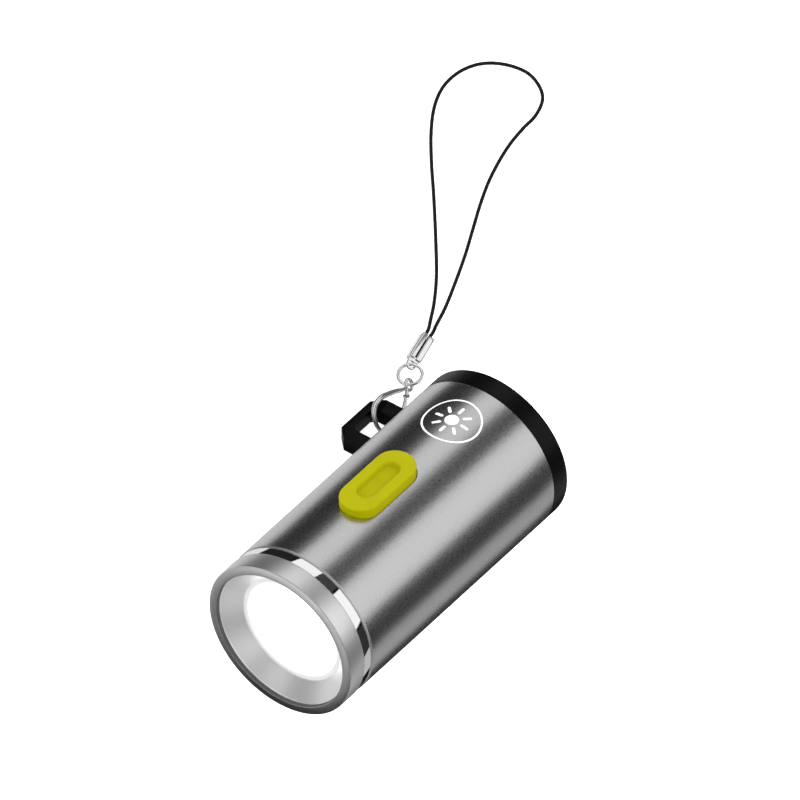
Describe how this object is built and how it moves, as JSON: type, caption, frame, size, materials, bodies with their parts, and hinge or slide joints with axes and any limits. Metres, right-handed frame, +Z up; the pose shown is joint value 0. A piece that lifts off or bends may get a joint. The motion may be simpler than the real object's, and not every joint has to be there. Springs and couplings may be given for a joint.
{
  "type": "keychain flashlight",
  "caption": "Short cylindrical aluminium keychain flashlight with a coloured side push button, black screw tail cap, side lug with clasp, and a thin cord loop.",
  "frame": {"origin": "centre of the tail cap's flat rear face, on the tube's axis", "axes": "+X along the tube out of the tail; +Z up as the flashlight lies on a table on its tube and its lug; +Y to the lug's side"},
  "size_m": [0.1262, 0.0656, 0.0304],
  "materials": {
    "satin_aluminium": "satin bead-blasted, fine lathe grain",
    "polished_trim": "mirror polish",
    "clear_lens": "clear, lit white from behind",
    "reflector_metal": "bright vacuum metal on a moulded cup",
    "silicone": "matte",
    "led_phosphor": "yellow phosphor under a clear dome",
    "board_aluminium": "white solder mask on an aluminium board",
    "circuit_board": "green solder mask",
    "brass_contact": "bright",
    "black_plastic": "satin moulded",
    "lime_plastic": "satin moulded",
    "battery_wrap": "plain blue shrink wrap over the metal can",
    "steel": "bright",
    "polished_hardware": "nickel plated",
    "cord_fibre": "fine black twisted yarn",
    "wire_red": "satin",
    "wire_black": "satin"
  },
  "bodies": {
    "housing": {"bezel": "satin_aluminium", "trim_ring": "polished_trim", "front_lens": "clear_lens", "lens_seal": "silicone", "reflector": "reflector_metal", "led_emitter": "led_phosphor", "led_board": "board_aluminium", "board_screw_1": "steel", "board_screw_2": "steel", "heat_sink": "satin_aluminium", "led_wire_positive": "wire_red", "led_wire_negative": "wire_black", "driver_board": "circuit_board", "positive_contact": "brass_contact", "body_tube": "satin_aluminium", "battery_cell": "battery_wrap", "battery_sleeve": "black_plastic", "switch_bracket": "black_plastic", "switch_board": "circuit_board", "tact_switch": "steel", "button_gasket": "silicone", "lanyard_lug": "black_plastic"},
    "button": {"button_cap": "lime_plastic", "switch_plunger": "black_plastic"},
    "tail_contacts": {"tail_spring": "steel", "tail_contact": "brass_contact"},
    "tail_cap": {"tail_cap": "black_plastic"},
    "clasp": {"clasp_body": "polished_hardware"},
    "gate_lever": {"clasp_gate": "polished_hardware"},
    "jump_ring": {"jump_ring": "polished_hardware"},
    "cord_end": {"cord_crimp": "polished_hardware", "lanyard_cord": "cord_fibre"}
  },
  "joints": [
    {"name": "button_press", "type": "slide", "parent": "housing", "child": "button", "axis": [0, -0.6115, -0.7912], "range_m": [0, 0.0004], "stiffness_N_per_m": 2000, "springref_m": -0.0005},
    {"name": "tail_cap_travel", "type": "slide", "parent": "housing", "child": "tail_contacts", "axis": [1, 0, 0], "range_m": [0, 0.006]},
    {"name": "tail_cap_turn", "type": "hinge", "parent": "tail_contacts", "child": "tail_cap", "pos_m": [0, 0, 0], "axis": [1, 0, 0], "range_deg": [0, 2160]},
    {"name": "clasp_swing", "type": "hinge", "parent": "housing", "child": "clasp", "pos_m": [-0.0055, 0.01527, -0.0118], "axis": [0, -0.7912, 0.6115], "range_deg": [-6, 45]},
    {"name": "gate_open", "type": "hinge", "parent": "clasp", "child": "gate_lever", "pos_m": [0.00102, 0.01514, -0.01339], "axis": [-0.2037, 0.4393, -0.875], "range_deg": [0, 8], "stiffness_Nm_per_rad": 0.002, "springref_deg": -11.46},
    {"name": "ring_swing", "type": "hinge", "parent": "clasp", "child": "jump_ring", "pos_m": [0.0028, 0.0163, -0.01322], "axis": [0, 0, 1], "range_deg": [-12, 12]},
    {"name": "cord_end_swing", "type": "hinge", "parent": "jump_ring", "child": "cord_end", "pos_m": [0.0062, 0.0186, -0.01367], "axis": [0, 0, 1], "range_deg": [-15, 15]}
  ],
  "couplings": [
    {"joint": "tail_cap_turn", "follows": "tail_cap_travel", "rad_per_m": 6283.2}
  ]
}
